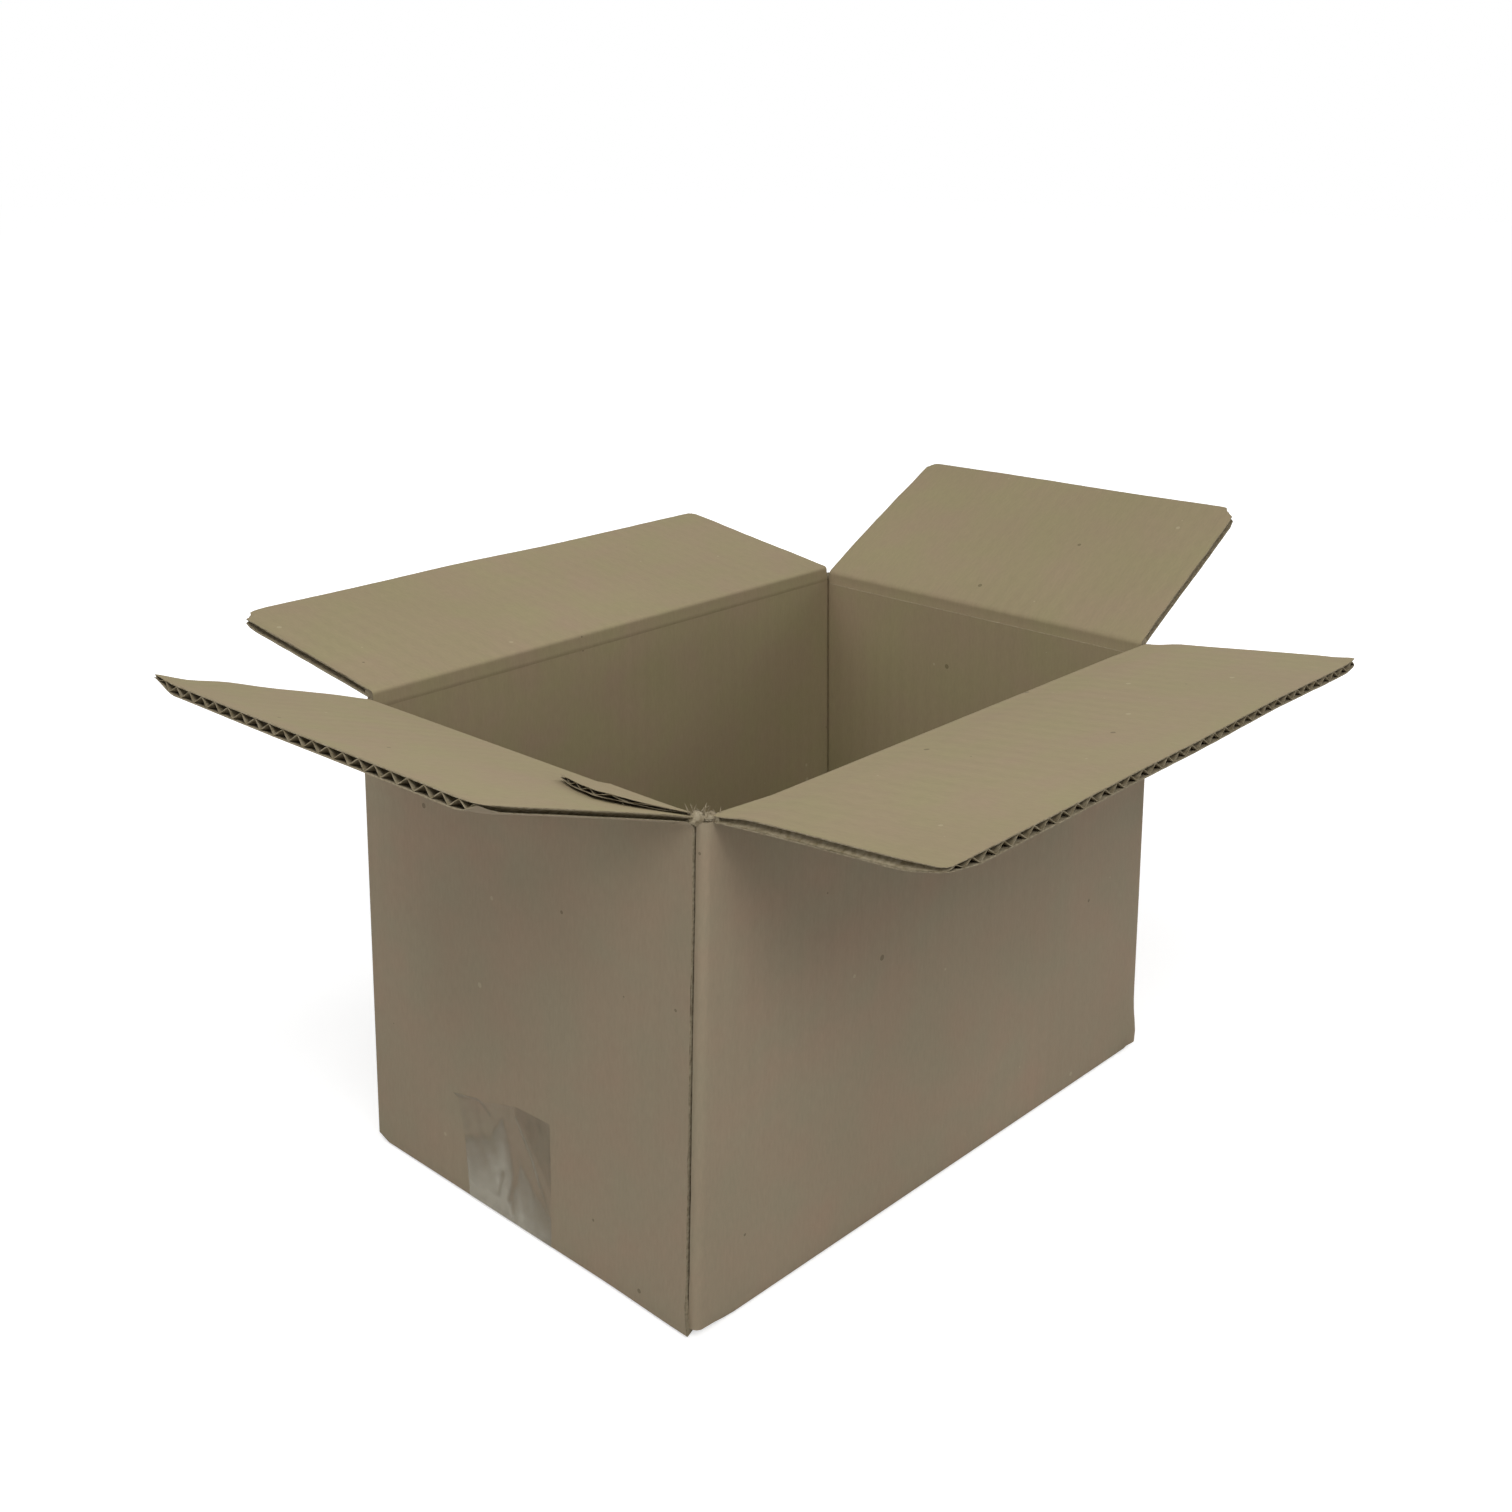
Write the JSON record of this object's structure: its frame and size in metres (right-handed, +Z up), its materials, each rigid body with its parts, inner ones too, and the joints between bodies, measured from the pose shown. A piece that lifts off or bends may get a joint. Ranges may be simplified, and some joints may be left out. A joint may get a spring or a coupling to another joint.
{
  "type": "open cardboard box",
  "caption": "Plain brown corrugated shipping carton with a taped bottom and hinged top flaps folded open.",
  "frame": {"origin": "middle of the box's underside, on the ground it stands on", "axes": "+X along the long side towards the end flap that stands up more, +Y towards the back long flap, +Z up"},
  "size_m": [0.4369, 0.3583, 0.2285],
  "materials": {
    "board": "matt kraft liner",
    "tape": "clear glossy film, brown with the board behind it"
  },
  "bodies": {
    "box": {"box_body": "board", "packing_tape": "tape"},
    "front_flap": {"front_flap": "board"},
    "back_flap": {"back_flap": "board"},
    "left_flap": {"left_flap": "board", "glue_tab_end": "board"},
    "right_flap": {"right_flap": "board"}
  },
  "joints": [
    {"name": "front_flap_fold", "type": "hinge", "parent": "box", "child": "front_flap", "pos_m": [0, -0.09015, 0.185], "axis": [-1, 0, 0], "range_deg": [-86, 174]},
    {"name": "back_flap_fold", "type": "hinge", "parent": "box", "child": "back_flap", "pos_m": [0, 0.09015, 0.185], "axis": [1, 0, 0], "range_deg": [-87.4, 172.6]},
    {"name": "left_flap_fold", "type": "hinge", "parent": "box", "child": "left_flap", "pos_m": [-0.13715, 0, 0.1811], "axis": [0, 1, 0], "range_deg": [-99.2, 160.8]},
    {"name": "right_flap_fold", "type": "hinge", "parent": "box", "child": "right_flap", "pos_m": [0.13715, 0, 0.1811], "axis": [0, -1, 0], "range_deg": [-109.5, 150.5]}
  ]
}
